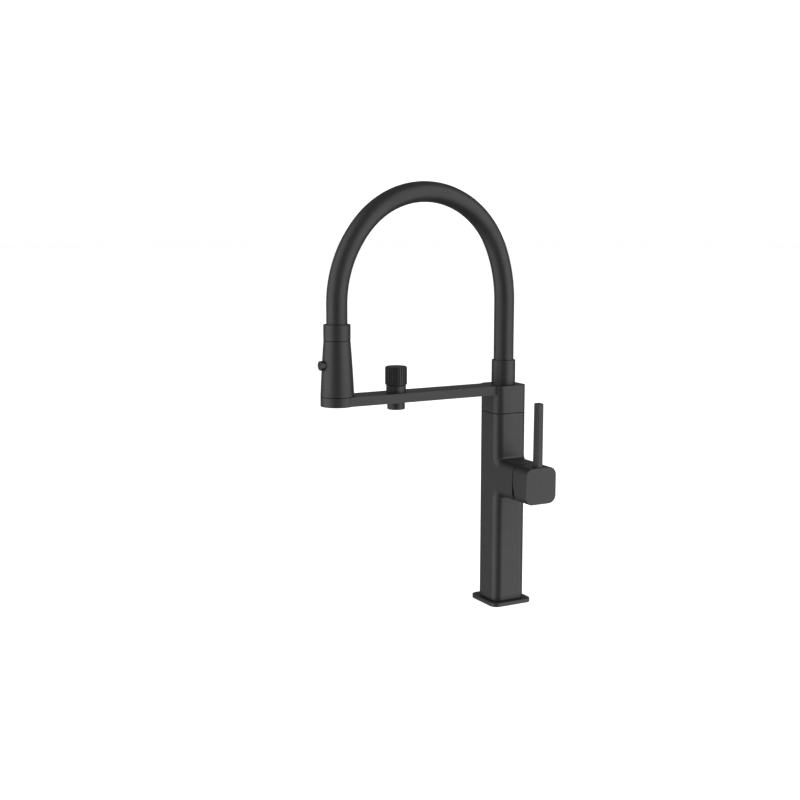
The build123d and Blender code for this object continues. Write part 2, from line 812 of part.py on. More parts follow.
with BuildPart() as outlet_knob:
    ring(outlet_section, knob_radius, 0, knob_foot, knob_top)
    with BuildSketch(outlet_section.offset(knob_foot)):
        with PolarLocations(knob_radius - 0.2, flute_count):
            Circle(flute_radius)
    extrude(amount=knob_top - knob_foot, mode=Mode.SUBTRACT)
    # Turned bevels at the top and foot cut across the flutes
    bevel = 0.9
    turn(
        outlet_profile,
        (knob_radius - bevel, knob_top),
        (knob_radius + 1, knob_top),
        (knob_radius + 1, knob_top - bevel - 1),
        mode=Mode.SUBTRACT,
    )
    turn(
        outlet_profile,
        (knob_radius - bevel, knob_foot),
        (knob_radius + 1, knob_foot),
        (knob_radius + 1, knob_foot + bevel + 1),
        mode=Mode.SUBTRACT,
    )
    ring(outlet_section, 8.8, 0, knob_foot, 268.9, mode=Mode.SUBTRACT)
    ring(outlet_section, 3.05, 0, 268.9, 274, mode=Mode.SUBTRACT)
save(outlet_knob, "outlet_knob")

with BuildPart() as outlet_nozzle:
    turn(
        outlet_profile,
        (6.3, 230.3),
        (9.0, 230.3),
        (9.5, 230.8),
        (9.5, arm_foot),
        (7.0, arm_foot),
        (7.0, 231.4),
        (6.3, 231.4),
    )
save(outlet_nozzle, "outlet_nozzle")

with BuildPart() as nozzle_aerator:
    ring(outlet_section, 6.9, 5.9, 231.4, 235)
    ring(outlet_section, 5.9, 0, 231.9, 232.7)
    with BuildSketch(outlet_section.offset(231.9)):
        with GridLocations(1.5, 1.5, 5, 5):
            Rectangle(1.1, 1.1)
    extrude(amount=0.8, mode=Mode.SUBTRACT)
save(nozzle_aerator, "nozzle_aerator")

with BuildPart() as nozzle_washer:
    ring(outlet_section, 6.9, 5.3, 235, 236)
save(nozzle_washer, "nozzle_washer")
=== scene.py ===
import json
from math import atan2, cos, degrees, hypot, pi, radians, sin, sqrt, tau

import bmesh
import bpy
from mathutils import Matrix, Vector


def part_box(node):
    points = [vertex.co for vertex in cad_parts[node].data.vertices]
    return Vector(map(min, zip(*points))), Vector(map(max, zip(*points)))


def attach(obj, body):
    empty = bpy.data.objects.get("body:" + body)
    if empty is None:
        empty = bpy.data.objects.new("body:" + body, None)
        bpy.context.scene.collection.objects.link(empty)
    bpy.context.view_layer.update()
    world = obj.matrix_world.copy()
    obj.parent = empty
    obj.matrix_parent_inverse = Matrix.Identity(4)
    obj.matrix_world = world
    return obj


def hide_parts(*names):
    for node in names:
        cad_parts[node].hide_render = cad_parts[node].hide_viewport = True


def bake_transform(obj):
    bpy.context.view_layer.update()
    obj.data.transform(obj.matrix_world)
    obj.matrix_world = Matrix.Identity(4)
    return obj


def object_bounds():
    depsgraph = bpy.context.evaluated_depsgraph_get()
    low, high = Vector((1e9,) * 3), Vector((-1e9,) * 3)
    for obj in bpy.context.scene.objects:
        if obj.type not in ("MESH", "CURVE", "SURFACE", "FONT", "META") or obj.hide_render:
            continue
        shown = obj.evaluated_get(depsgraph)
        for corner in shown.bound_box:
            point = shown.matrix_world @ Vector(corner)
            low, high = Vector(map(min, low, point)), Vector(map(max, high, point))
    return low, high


# Pull-down kitchen faucet in matte black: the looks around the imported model.
# +Z is up, the arm points to -Y and the handle sits on the +X side.
# Sizes are millimetres, and mm turns them into Blender's metres.
mm = 0.001

# what several pieces share
columnSide = 40.0
columnCorner = 9.3
mixerAxis = 146.15  # the height of the mixer's axis, which points along +X
sprayReach = 205.6  # how far in front of the column's axis the spray is docked
outletReach = 136.0  # and how far the arm's own outlet is

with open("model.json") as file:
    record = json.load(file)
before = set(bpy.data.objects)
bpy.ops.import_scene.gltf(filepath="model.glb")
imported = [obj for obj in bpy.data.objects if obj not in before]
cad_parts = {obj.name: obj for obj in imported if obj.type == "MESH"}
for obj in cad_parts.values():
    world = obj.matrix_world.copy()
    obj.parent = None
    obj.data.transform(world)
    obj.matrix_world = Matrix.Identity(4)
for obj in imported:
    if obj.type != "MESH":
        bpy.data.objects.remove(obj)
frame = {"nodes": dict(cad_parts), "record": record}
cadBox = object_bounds()
nodes = frame["nodes"]
print("frame loaded:", len(nodes), "nodes")


def boxOf(node):
    # a CAD node's lowest and highest corner, in millimetres
    low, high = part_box(node)
    return low / mm, high / mm


def addNode(tree, kind, values=None, **settings):
    # adds a shader node; values go to its sockets, as plain values or as links from another node's output
    node = tree.nodes.new(kind)
    for key, value in settings.items():
        setattr(node, key, value)
    for key, value in (values or {}).items():
        if isinstance(value, bpy.types.NodeSocket):
            tree.links.new(value, node.inputs[key])
        else:
            node.inputs[key].default_value = value
    return node


# Camera, light and floor

view = {"at": (1229.84, -801.18, 449.44), "aim": (-55.1, -101.2, 230.1), "lens": 59.53, "sensor": 36}


def addCamera():
    at = Vector(view["at"]) * mm
    aim = Vector(view["aim"]) * mm
    bpy.ops.object.camera_add(location=at)
    camera = bpy.context.object
    camera.name = "camera"
    camera.rotation_euler = (aim - at).to_track_quat("-Z", "Y").to_euler()
    camera.data.sensor_width = view["sensor"]
    camera.data.lens = view["lens"]
    camera.data.clip_start = 0.01
    camera.data.dof.use_dof = False
    bpy.context.scene.camera = camera
    return camera


studio = {
    "sideAngle": 69.3,  # of each softbox, from the camera's direction round the column
    "distance": 4000,
    "width": 5600,
    "foot": -4290,  # the softboxes reach below the worktop, which lights the undercuts
    "top": 5630,
    "sideGlow": 1.62,  # brightness of a softbox, where lit white paper is 1
    "roomGlow": 0.195,
    "backdropGlow": 1.3,
}


def addStudio(camera):
    centre = (cadBox[0] + cadBox[1]) / 2
    towards = Vector((camera.location.x - centre.x, camera.location.y - centre.y, 0)).normalized()
    width = studio["width"] * mm
    height = (studio["top"] - studio["foot"]) * mm
    level = centre.z + (studio["top"] + studio["foot"]) / 2 * mm
    for name, side in (("softboxRight", 1), ("softboxLeft", -1)):
        outwards = Matrix.Rotation(side * radians(studio["sideAngle"]), 3, "Z") @ towards
        at = centre + outwards * studio["distance"] * mm
        at.z = level
        bpy.ops.object.light_add(type="AREA", location=at)
        softbox = bpy.context.object
        softbox.name = name
        softbox.data.shape = "RECTANGLE"
        softbox.data.size = width
        softbox.data.size_y = height
        softbox.data.energy = studio["sideGlow"] * pi * width * height
        softbox.rotation_euler = (-outwards).to_track_quat("-Z", "Y").to_euler()
        softbox.visible_camera = False
    # the room light is even and weak, and only the camera sees the white backdrop
    world = bpy.data.worlds.new("studio")
    bpy.context.scene.world = world
    world.use_nodes = True
    tree = world.node_tree
    tree.nodes.clear()
    white = (1, 1, 1, 1)
    ray = addNode(tree, "ShaderNodeLightPath")
    room = addNode(tree, "ShaderNodeBackground", {"Color": white, "Strength": studio["roomGlow"]})
    backdrop = addNode(tree, "ShaderNodeBackground", {"Color": white, "Strength": studio["backdropGlow"]})
    mixed = addNode(
        tree, "ShaderNodeMixShader",
        {0: ray.outputs["Is Camera Ray"], 1: room.outputs[0], 2: backdrop.outputs[0]},
    )
    addNode(tree, "ShaderNodeOutputWorld", {"Surface": mixed.outputs[0]})
    bpy.context.scene.view_settings.view_transform = "Standard"


# Materials: one entry for each finish, with all sizes in millimetres. shades wander in blotches of that size,
# roughness goes from its lower to its higher value in patches of the size of wear, marks are as wide across Z
# and as long along Z as given, and grit is the finest grain. height is the depth of marks and grit together.
# Where the real grain is too fine to show, grit is drawn as coarse as it needs to be seen close up.
finishes = {
    # polyester powder baked on cast brass and zinc: dull, a soft orange peel under a fine grit
    "matte_black_metal": {
        "name": "matteBlackPowderCoat", "shades": ("#202021", "#252526"), "blotch": 6,
        "roughness": (0.42, 0.48), "wear": 38, "marks": (1.6, 1.6), "grit": 0.45, "height": 0.02,
        "fixed": {"IOR": 1.5},
    },
    # liquid silicone rubber from a blasted mould, under the thin matte lacquer that keeps dust off
    "black_silicone": {
        "name": "mouldedBlackSilicone", "shades": ("#202021", "#252526"), "blotch": 9,
        "roughness": (0.42, 0.5), "wear": 27, "marks": (2.2, 2.2), "grit": 0.5, "height": 0.02,
        "fixed": {"IOR": 1.49},
    },
    # EPDM rubber, blotched grey by the bloom it gets with age
    "black_rubber": {
        "name": "epdmRubber", "shades": ("#161617", "#202022"), "blotch": 5,
        "roughness": (0.5, 0.68), "wear": 15, "marks": (1.2, 1.2), "grit": 0.4, "height": 0.03,
        "fixed": {"IOR": 1.52},
    },
    # grey silicone of the spray's soft nozzles, slightly glossy at the tips
    "grey_silicone": {
        "name": "mouldedGreySilicone", "shades": ("#5f6063", "#696a6d"), "blotch": 3,
        "roughness": (0.38, 0.5), "wear": 6, "marks": (0.8, 0.8), "grit": 0.3, "height": 0.01,
        "fixed": {"IOR": 1.42},
    },
    # sintered alumina, lapped almost to a mirror
    "alumina_ceramic": {
        "name": "lappedAluminaCeramic", "shades": ("#e9e6de", "#f2f0ea"), "blotch": 4,
        "roughness": (0.12, 0.2), "wear": 9, "marks": (0.6, 0.6), "grit": 0.2, "height": 0.002,
        "fixed": {"IOR": 1.76},
    },
    # natural acetal, faintly waxy, with the flow marks of its mould
    "white_plastic": {
        "name": "naturalAcetal", "shades": ("#dedcd4", "#e9e7e0"), "blotch": 7,
        "roughness": (0.3, 0.4), "wear": 21, "marks": (2.5, 6.0), "grit": 0.6, "height": 0.008,
        "fixed": {"IOR": 1.48},
    },
    # ABS dyed through, satin from a fine spark-eroded mould
    "black_plastic": {
        "name": "satinBlackAbs", "shades": ("#1e1e1f", "#232324"), "blotch": 8,
        "roughness": (0.36, 0.44), "wear": 24, "marks": (1.0, 1.0), "grit": 0.25, "height": 0.01,
        "fixed": {"IOR": 1.54},
    },
    # pressed and fired ferrite, charcoal with a coarse grain
    "ferrite_magnet": {
        "name": "firedFerrite", "shades": ("#2d2d30", "#3b3b3f"), "blotch": 1.5,
        "roughness": (0.45, 0.6), "wear": 5, "marks": (0.7, 0.7), "grit": 0.2, "height": 0.02,
        "fixed": {"IOR": 2.2},
    },
    # brass fine turned on a lathe, slightly tarnished, with close rings round the axis
    "brass": {
        "name": "turnedBrass", "shades": ("#b08a4e", "#c6a160"), "blotch": 8,
        "roughness": (0.2, 0.34), "wear": 12, "marks": (3.0, 0.12), "grit": 0.3, "height": 0.004,
        "fixed": {"Metallic": 1.0},
    },
    # the same brass, coloured near black as painted shade for the thin seams where it shows, which look like
    # dark lines
    "seam_shade_brass": {
        "name": "brassPaintedSeamShade", "shades": ("#1c1b1a", "#2a2724"), "blotch": 4,
        "roughness": (0.4, 0.55), "wear": 10, "marks": (3.0, 0.12), "grit": 0.3, "height": 0.004,
        "fixed": {"Metallic": 1.0},
    },
    # stainless steel wire and screws, drawn and then polished, bright with fine lines along them
    "stainless_steel": {
        "name": "drawnStainlessSteel", "shades": ("#b9b7b3", "#c9c7c3"), "blotch": 8,
        "roughness": (0.18, 0.3), "wear": 7, "marks": (0.25, 5.0), "grit": 0.3, "height": 0.003,
        "fixed": {"Metallic": 1.0},
    },
    # drawn copper tube, warm with patches of oxide
    "copper_tube": {
        "name": "drawnCopper", "shades": ("#b06a4a", "#c9825f"), "blotch": 10,
        "roughness": (0.22, 0.38), "wear": 14, "marks": (0.3, 12.0), "grit": 0.4, "height": 0.004,
        "fixed": {"Metallic": 1.0},
    },
    # the worktop: pressed laminate, nearly white and dull, with a faint cloud; its glow keeps it from greying
    "worktop": {
        "name": "paleLaminate", "shades": ("#f3f3f1", "#f6f6f4"), "blotch": 60,
        "roughness": (0.8, 0.88), "wear": 90, "marks": (3.0, 3.0), "grit": 0.8, "height": 0.01,
        "fixed": {"IOR": 1.5, "Emission Color": (1, 1, 1, 1), "Emission Strength": 0.8},
    },
}


def linear(hexColour):
    # an sRGB hex value as the linear colour that shader sockets take
    channels = []
    for start in (1, 3, 5):
        value = int(hexColour[start:start + 2], 16) / 255
        channels.append(value / 12.92 if value <= 0.04045 else ((value + 0.055) / 1.055) ** 2.4)
    return (*channels, 1)


def perMetre(size):
    # a noise scale that gives blotches of that size in millimetres
    return 1 / (size * mm)


def makeFinish(look):
    material = bpy.data.materials.new(look["name"])
    material.use_nodes = True
    tree = material.node_tree
    tree.nodes.clear()
    place = addNode(tree, "ShaderNodeTexCoord").outputs["Object"]
    blotches = {"Vector": place, "Scale": perMetre(look["blotch"]), "Detail": 3}
    cloud = addNode(tree, "ShaderNodeTexNoise", blotches)
    shade = addNode(tree, "ShaderNodeValToRGB", {"Fac": cloud.outputs["Fac"]})
    middleOfNoise = (0.3, 0.7)
    for stop, position, colour in zip(shade.color_ramp.elements, middleOfNoise, look["shades"]):
        stop.position = position
        stop.color = linear(colour)
    patches = {"Vector": place, "Scale": perMetre(look["wear"]), "Detail": 4}
    wear = addNode(tree, "ShaderNodeTexNoise", patches)
    gloss = addNode(tree, "ShaderNodeMapRange", {
        "Value": wear.outputs["Fac"], "From Min": middleOfNoise[0], "From Max": middleOfNoise[1],
        "To Min": look["roughness"][0], "To Max": look["roughness"][1],
    })
    across, along = look["marks"]
    stretch = (perMetre(across), perMetre(across), perMetre(along))
    drawn = addNode(tree, "ShaderNodeMapping", {"Vector": place, "Scale": stretch})
    marks = addNode(tree, "ShaderNodeTexNoise", {"Vector": drawn.outputs[0], "Scale": 1, "Detail": 2})
    grains = {"Vector": place, "Scale": perMetre(look["grit"]), "Detail": 1}
    grit = addNode(tree, "ShaderNodeTexNoise", grains)
    both = {0: marks.outputs["Fac"], 1: grit.outputs["Fac"]}
    relief = addNode(tree, "ShaderNodeMath", both, operation="ADD")
    bump = addNode(tree, "ShaderNodeBump", {
        "Height": relief.outputs[0], "Strength": 0.6, "Distance": look["height"] * mm,
    })
    shader = addNode(tree, "ShaderNodeBsdfPrincipled", {
        "Base Color": shade.outputs["Color"], "Roughness": gloss.outputs["Result"],
        "Normal": bump.outputs["Normal"], **look["fixed"],
    })
    addNode(tree, "ShaderNodeOutputMaterial", {"Surface": shader.outputs[0]})
    return material


def addFloor():
    # the floor is seen and takes shadows, but throws no light back up at the faucet
    bpy.ops.mesh.primitive_circle_add(vertices=64, radius=14, fill_type="NGON")
    floor = bpy.context.object
    floor.name = "floor"
    floor.data.materials.append(materials["worktop"])
    floor.visible_diffuse = False
    floor.visible_glossy = False
    floor.visible_shadow = False


materials = {slotName: makeFinish(look) for slotName, look in finishes.items()}
print("materials ready:", len(materials))
addStudio(addCamera())
addFloor()
print("studio ready")

# every CAD part gets its own finish, also those that stay hidden inside
slotOf = {part["node"]: part["material_slot"] for part in frame["record"]["subparts"]}
# these brass parts take the near-black brass, which paints the shade of the thin seams where they show
paintedSeamShadeParts = ("hose_connector", "inlet_nipple", "outlet_valve_body", "outlet_spindle")
for nodeName, node in nodes.items():
    finishName = "seam_shade_brass" if nodeName in paintedSeamShadeParts else slotOf[nodeName]
    node.data.materials.clear()
    node.data.materials.append(materials[finishName])


# Modelling helpers

hairline = 0.01  # how near in mm counts as on the spot when faces and edges are picked by their place
weld = 0.002  # vertices closer than this in mm become one
past = 1  # how far in mm a hole or a cutter reaches past the face that it opens


def clearSelection():
    if bpy.context.mode != "OBJECT":
        bpy.ops.object.mode_set(mode="OBJECT")
    bpy.ops.object.select_all(action="DESELECT")


def named(name):
    # the object that was just added, under the piece's own name
    piece = bpy.context.object
    piece.name = name
    piece.data.name = name
    return piece


def makeActive(piece):
    clearSelection()
    piece.select_set(True)
    bpy.context.view_layer.objects.active = piece


def openForEdit(piece):
    makeActive(piece)
    bpy.ops.object.mode_set(mode="EDIT")
    bpy.ops.mesh.select_all(action="DESELECT")


def pick(piece, kind, test):
    # selects the verts, edges or faces that pass the test, and nothing else
    bpy.ops.mesh.select_mode(type=kind)
    bpy.ops.mesh.select_all(action="DESELECT")
    mesh = bmesh.from_edit_mesh(piece.data)
    parts = {"VERT": mesh.verts, "EDGE": mesh.edges, "FACE": mesh.faces}[kind]
    count = 0
    for part in parts:
        if test(part):
            part.select_set(True)
            count += 1
    mesh.select_flush_mode()
    bmesh.update_edit_mesh(piece.data)
    return count


def middle(edge):
    # an edge's middle in millimetres
    return (edge.verts[0].co + edge.verts[1].co) / 2 / mm


def along(edge, axis):
    direction = (edge.verts[1].co - edge.verts[0].co).normalized()
    return abs(direction[axis]) > 0.999


def above(edge, level):
    # whether the whole edge lies at that height in millimetres or over it
    return min(vert.co.z for vert in edge.verts) > (level - hairline) * mm


def bevelPicked(size, segments, clamped=False):
    bpy.ops.mesh.bevel(offset=size * mm, segments=segments, profile=0.5, clamp_overlap=clamped)


def applyModifier(piece, kind, **settings):
    makeActive(piece)
    modifier = piece.modifiers.new(kind, kind)
    for key, value in settings.items():
        setattr(modifier, key, value)
    bpy.ops.object.modifier_apply(modifier=modifier.name)


def joinOrCut(piece, tool, operation):
    # adds the tool's shape to the piece or takes it away, and removes the tool
    applyModifier(piece, "BOOLEAN", operation=operation, object=tool, solver="EXACT")
    bpy.data.objects.remove(tool)


def mergeAndPointOutwards(piece):
    openForEdit(piece)
    bpy.ops.mesh.select_all(action="SELECT")
    bpy.ops.mesh.remove_doubles(threshold=weld * mm)
    bpy.ops.mesh.normals_make_consistent(inside=False)
    clearSelection()


def softenEdges(piece, radius, segments=2, angle=35, keep=None):
    # rounds every edge sharper than the angle, unless keep says to leave it
    openForEdit(piece)
    sharp = radians(angle)

    def isSharp(edge):
        if len(edge.link_faces) != 2 or edge.calc_face_angle(0) < sharp:
            return False
        return not (keep and keep(edge))

    if pick(piece, "EDGE", isSharp):
        bevelPicked(radius, segments, clamped=True)
    clearSelection()


def straight(name, centre, size):
    # a plain block to start from
    bpy.ops.mesh.primitive_cube_add(size=1, location=[value * mm for value in centre])
    block = named(name)
    block.scale = [value * mm for value in size]
    bpy.ops.object.transform_apply(location=True, rotation=True, scale=True)
    return block


def roundCorners(piece, axis, radius, segments):
    # rounds the four long edges that run along an axis
    openForEdit(piece)
    pick(piece, "EDGE", lambda edge: along(edge, axis))
    bevelPicked(radius, segments)
    clearSelection()


def drill(piece, radius, start, end, sides=96):
    # a round hole between two points
    start, end = Vector(start) * mm, Vector(end) * mm
    run = end - start
    bpy.ops.mesh.primitive_cylinder_add(
        vertices=sides, radius=radius * mm, depth=run.length, location=(start + end) / 2,
        rotation=run.to_track_quat("Z", "Y").to_euler(),
    )
    joinOrCut(piece, named("drill"), "DIFFERENCE")


def turned(name, outline, sides=128, cap=False):
    # turns (radius, height) points round the upright axis through the origin; the outline closes on itself,
    # or starts and ends with a flat cap
    radius, height = outline[0]
    fill = "NGON" if cap else "NOTHING"
    bpy.ops.mesh.primitive_circle_add(
        vertices=sides, radius=radius * mm, location=(0, 0, height * mm), fill_type=fill,
    )
    piece = named(name)
    bpy.ops.object.transform_apply(location=True, rotation=True, scale=True)
    bpy.ops.object.mode_set(mode="EDIT")
    bpy.ops.mesh.select_mode(type="VERT")
    bpy.ops.mesh.select_all(action="SELECT")
    steps = outline[1:] if cap else outline[1:] + outline[:1]
    for newRadius, newHeight in steps:
        lift = (0, 0, (newHeight - height) * mm)
        bpy.ops.mesh.extrude_region_move(TRANSFORM_OT_translate={"value": lift})
        ratio = newRadius / radius
        bpy.ops.transform.resize(value=(ratio, ratio, 1), center_override=(0, 0, newHeight * mm))
        radius, height = newRadius, newHeight
    if cap:
        bpy.ops.mesh.edge_face_add()
    mergeAndPointOutwards(piece)
    return piece


def moveTo(piece, at, turn=None):
    # puts a piece that was made at the origin in its place, within its mesh
    makeActive(piece)
    if turn:
        piece.rotation_euler = turn
    piece.location = Vector(at) * mm
    bpy.ops.object.transform_apply(location=True, rotation=True, scale=True)


def drawLine(name, start, steps):
    # an edge chain: ("to", point) draws straight on, and ("round", centre, axis, degrees, count) turns
    # about a centre in that many steps
    bpy.ops.mesh.primitive_plane_add(size=mm, location=(0, 0, 0))
    chain = named(name)
    bpy.ops.object.mode_set(mode="EDIT")
    bpy.ops.mesh.select_mode(type="VERT")
    bpy.ops.mesh.select_all(action="SELECT")
    bpy.ops.mesh.merge(type="CENTER")
    at = Vector(start) * mm
    bpy.ops.transform.translate(value=at)
    for step in steps:
        if step[0] == "to":
            target = Vector(step[1]) * mm
            bpy.ops.mesh.extrude_vertices_move(TRANSFORM_OT_translate={"value": target - at})
            at = target
        else:
            centre, axis, turn, count = Vector(step[1]) * mm, Vector(step[2]), radians(step[3]), step[4]
            bpy.ops.mesh.spin(steps=count, angle=-turn, center=centre, axis=axis)  # spin counts clockwise
            at = centre + Matrix.Rotation(turn, 3, axis) @ (at - centre)
    bpy.ops.mesh.select_all(action="SELECT")
    bpy.ops.mesh.remove_doubles(threshold=weld * mm)
    clearSelection()
    return chain


def fillAndExtrude(piece, direction):
    # closes an outline with a flat face and draws it out to a solid
    openForEdit(piece)
    bpy.ops.mesh.select_mode(type="EDGE")
    bpy.ops.mesh.select_all(action="SELECT")
    bpy.ops.mesh.edge_face_add()
    bpy.ops.mesh.extrude_region_move(TRANSFORM_OT_translate={"value": Vector(direction) * mm})
    bpy.ops.mesh.select_all(action="SELECT")
    bpy.ops.mesh.normals_make_consistent(inside=False)
    clearSelection()


def finished(piece, body, slotName, replaced, smooth=35):
    # smooth shading, the finish, and the CAD node that the piece stands for
    makeActive(piece)
    bpy.ops.object.shade_smooth_by_angle(angle=radians(smooth))
    applyModifier(piece, "WEIGHTED_NORMAL", keep_sharp=True, weight=100)
    piece.data.materials.clear()
    piece.data.materials.append(materials[slotName])
    if body:
        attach(piece, body)
    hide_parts(replaced)


# Base plate

plateLow, plateHigh = boxOf("base_flange")
plate = {
    "corner": 7.6, "rim": 0.7, "foot": 0.3, "bore": 16.2,
    "recess": 1.6, "recessInset": 2.55, "recessCorner": 5.6,  # under the plate, for the gasket
    "sharpWithin": 32.2, "sharpUpTo": 2.0,
}


def makeBasePlate():
    size = plateHigh - plateLow
    piece = straight("base_plate", (plateLow + plateHigh) / 2, size)
    roundCorners(piece, 2, plate["corner"], 12)
    openForEdit(piece)
    pick(piece, "EDGE", lambda edge: above(edge, plateHigh.z))
    bevelPicked(plate["rim"], 4)
    clearSelection()
    inside = size.x - 2 * plate["recessInset"]
    recess = straight("recess", (0, 0, 0), (inside, inside, 2 * plate["recess"]))
    roundCorners(recess, 2, plate["recessCorner"], 8)
    joinOrCut(piece, recess, "DIFFERENCE")
    drill(piece, plate["bore"], (0, 0, -past), (0, 0, plateHigh.z + past))

    def nearRecess(edge):
        # the recess and the straight edges close to it stay sharp
        at = middle(edge)
        return hypot(at.x, at.y) < plate["sharpWithin"] and at.z < plate["sharpUpTo"]

    softenEdges(piece, plate["foot"], keep=nearRecess)
    finished(piece, "body", "matte_black_metal", "base_flange")


# Column with the mixer boss

columnLow, columnHigh = boxOf("body_column")
column = {
    "cornerSteps": 11, "lip": 0.3,
    "bossHeight": 40.8, "bossFillet": 3.5, "filletSteps": 7,
    "mouth": (15.0, 41.5), "chamber": (12.75, 16.0),  # radius, and the X that they reach down to
    "hollow": (15.5, 118.0), "thread": (16.0, 24.0), "tubeSeat": (4.1, 128.0), "tubeAt": 6.5,
    "post": (13.0, 190.0), "postThread": (8.5, 172.0), "mixedWay": 4.0,
}


def makeColumn():
    half, fillet, turns = columnSide / 2, column["bossFillet"], column["filletSteps"]
    low, high, end = columnLow.z, columnHigh.z, columnHigh.x
    foot, top = mixerAxis - column["bossHeight"] / 2, mixerAxis + column["bossHeight"] / 2
    sideways = (0, 1, 0)
    piece = drawLine("column", (-half, -half, low), [
        ("to", (half, -half, low)),
        ("to", (half, -half, foot - fillet)),
        ("round", (half + fillet, -half, foot - fillet), sideways, 90, turns),
        ("to", (end, -half, foot)),
        ("to", (end, -half, top)),
        ("to", (half + fillet, -half, top)),
        ("round", (half + fillet, -half, top + fillet), sideways, 90, turns),
        ("to", (half, -half, high)),
        ("to", (-half, -half, high)),
        ("to", (-half, -half, low)),
    ])
    fillAndExtrude(piece, (0, 2 * half, 0))

    def longEdge(edge):
        # the upright corners, which run out along the boss as one rounding
        at = middle(edge)
        onSide = abs(abs(at.y) - half) < hairline and not along(edge, 1)
        return onSide and low + hairline < at.z < high - hairline and at.x < end - hairline

    openForEdit(piece)
    pick(piece, "EDGE", longEdge)
    bevelPicked(columnCorner, column["cornerSteps"])
    clearSelection()
    radius, start = column["mouth"]
    drill(piece, radius, (start, 0, mixerAxis), (end + past, 0, mixerAxis))
    radius, floor = column["chamber"]
    drill(piece, radius, (floor, 0, mixerAxis), (start + past, 0, mixerAxis))
    for radius, roof in (column["hollow"], column["thread"]):
        drill(piece, radius, (0, 0, low - past), (0, 0, roof))
    for radius, floor in (column["post"], column["postThread"]):
        drill(piece, radius, (0, 0, floor), (0, 0, high + past))
    drill(piece, column["mixedWay"], (0, 0, mixerAxis), (0, 0, high), sides=48)
    radius, seat = column["tubeSeat"]
    hollowRoof = column["hollow"][1]
    for side in (1, -1):
        at = side * column["tubeAt"]
        drill(piece, radius, (0, at, hollowRoof - past), (0, at, seat), sides=48)
    softenEdges(piece, column["lip"], angle=50)
    finished(piece, "body", "matte_black_metal", "body_column")


# Swivel head: block, arm and docking ring in one casting

armLow, armHigh = boxOf("swivel_arm")
arm = {
    "width": 30.0, "height": 9.8, "lip": 0.4,
    "blockFillet": 4.5, "ringFillet": 6.0, "ring": 17.7, "bore": 13.5,
    "groove": (14.2, 16.6, 4.5),  # of the magnet: radii and depth
    "cavity": (11.0, 237.2), "waterWay": (2.4, 243.6), "lockHole": (2.05, 228.0),  # radius and height
    "riser": 7.0, "outlet": 7.0,
}


def armOutline(level, side):
    # one half of the arm seen from above, from the back of the block to the ring's tip
    half, halfArm, ring = columnSide / 2, arm["width"] / 2, arm["ring"]
    inner = half - columnCorner
    blockSide = halfArm + arm["blockFillet"]
    blockDrop = sqrt((columnCorner + arm["blockFillet"]) ** 2 - (blockSide - inner) ** 2)
    blockTurn = degrees(atan2(blockDrop, blockSide - inner))
    ringSide = halfArm + arm["ringFillet"]
    ringDrop = sqrt((ring + arm["ringFillet"]) ** 2 - ringSide**2)
    ringTurn = degrees(atan2(ringDrop, ringSide))
    up = (0, 0, 1)

    def at(x, y):
        return (side * x, y, level)

    return [
        ("to", at(inner, half)),
        ("round", at(inner, inner), up, -90 * side, 10),
        ("to", at(half, -inner)),
        ("round", at(inner, -inner), up, -blockTurn * side, 6),
        ("round", at(blockSide, -inner - blockDrop), up, blockTurn * side, 8),
        ("to", at(halfArm, ringDrop - sprayReach)),
        ("round", at(ringSide, ringDrop - sprayReach), up, ringTurn * side, 6),
        ("round", at(0, -sprayReach), up, -(90 + ringTurn) * side, 30),
    ]


def makeArm():
    level = armHigh.z - arm["height"]
    half = columnSide / 2
    piece = drawLine("swivel_head_casting", (0, half, level), armOutline(level, 1))
    leftSide = drawLine("leftSide", (0, half, level), armOutline(level, -1))
    makeActive(piece)
    leftSide.select_set(True)
    bpy.ops.object.join()
    openForEdit(piece)
    bpy.ops.mesh.select_all(action="SELECT")
    bpy.ops.mesh.remove_doubles(threshold=hairline * mm)
    fillAndExtrude(piece, (0, 0, arm["height"]))
    block = straight("block", (0, 0, (armLow.z + level) / 2), (columnSide, columnSide, level - armLow.z))
    roundCorners(block, 2, columnCorner, 10)
    joinOrCut(piece, block, "UNION")
    # the seams that the union leaves in flat faces are cleared
    openForEdit(piece)
    bpy.ops.mesh.select_all(action="SELECT")
    bpy.ops.mesh.remove_doubles(threshold=weld * mm)
    bpy.ops.mesh.dissolve_limited(angle_limit=radians(0.05))
    clearSelection()
    top = armHigh.z + past
    drill(piece, arm["bore"], (0, -sprayReach, level - past), (0, -sprayReach, top))
    cavity, roof = arm["cavity"]
    drill(piece, cavity, (0, 0, armLow.z - past), (0, 0, roof))
    drill(piece, arm["riser"], (0, 0, roof - past), (0, 0, top))
    drill(piece, arm["outlet"], (0, -outletReach, level - past), (0, -outletReach, top))
    inner, outer, depth = arm["groove"]
    floor = armHigh.z - depth
    groove = turned("groove", [(inner, floor), (outer, floor), (outer, top), (inner, top)], sides=96)
    moveTo(groove, (0, -sprayReach, 0))
    joinOrCut(piece, groove, "DIFFERENCE")
    # from the riser's hole to the outlet's, and from the cavity out through the back
    radius, level = arm["waterWay"]
    start, end = past - arm["riser"], arm["outlet"] - past - outletReach
    drill(piece, radius, (0, start, level), (0, end, level), sides=32)
    radius, level = arm["lockHole"]
    drill(piece, radius, (0, cavity - past, level), (0, half + past, level), sides=32)
    softenEdges(piece, arm["lip"], angle=50)
    finished(piece, "swivel_head", "matte_black_metal", "swivel_arm")


# Mixer handle: cap and lever in one casting

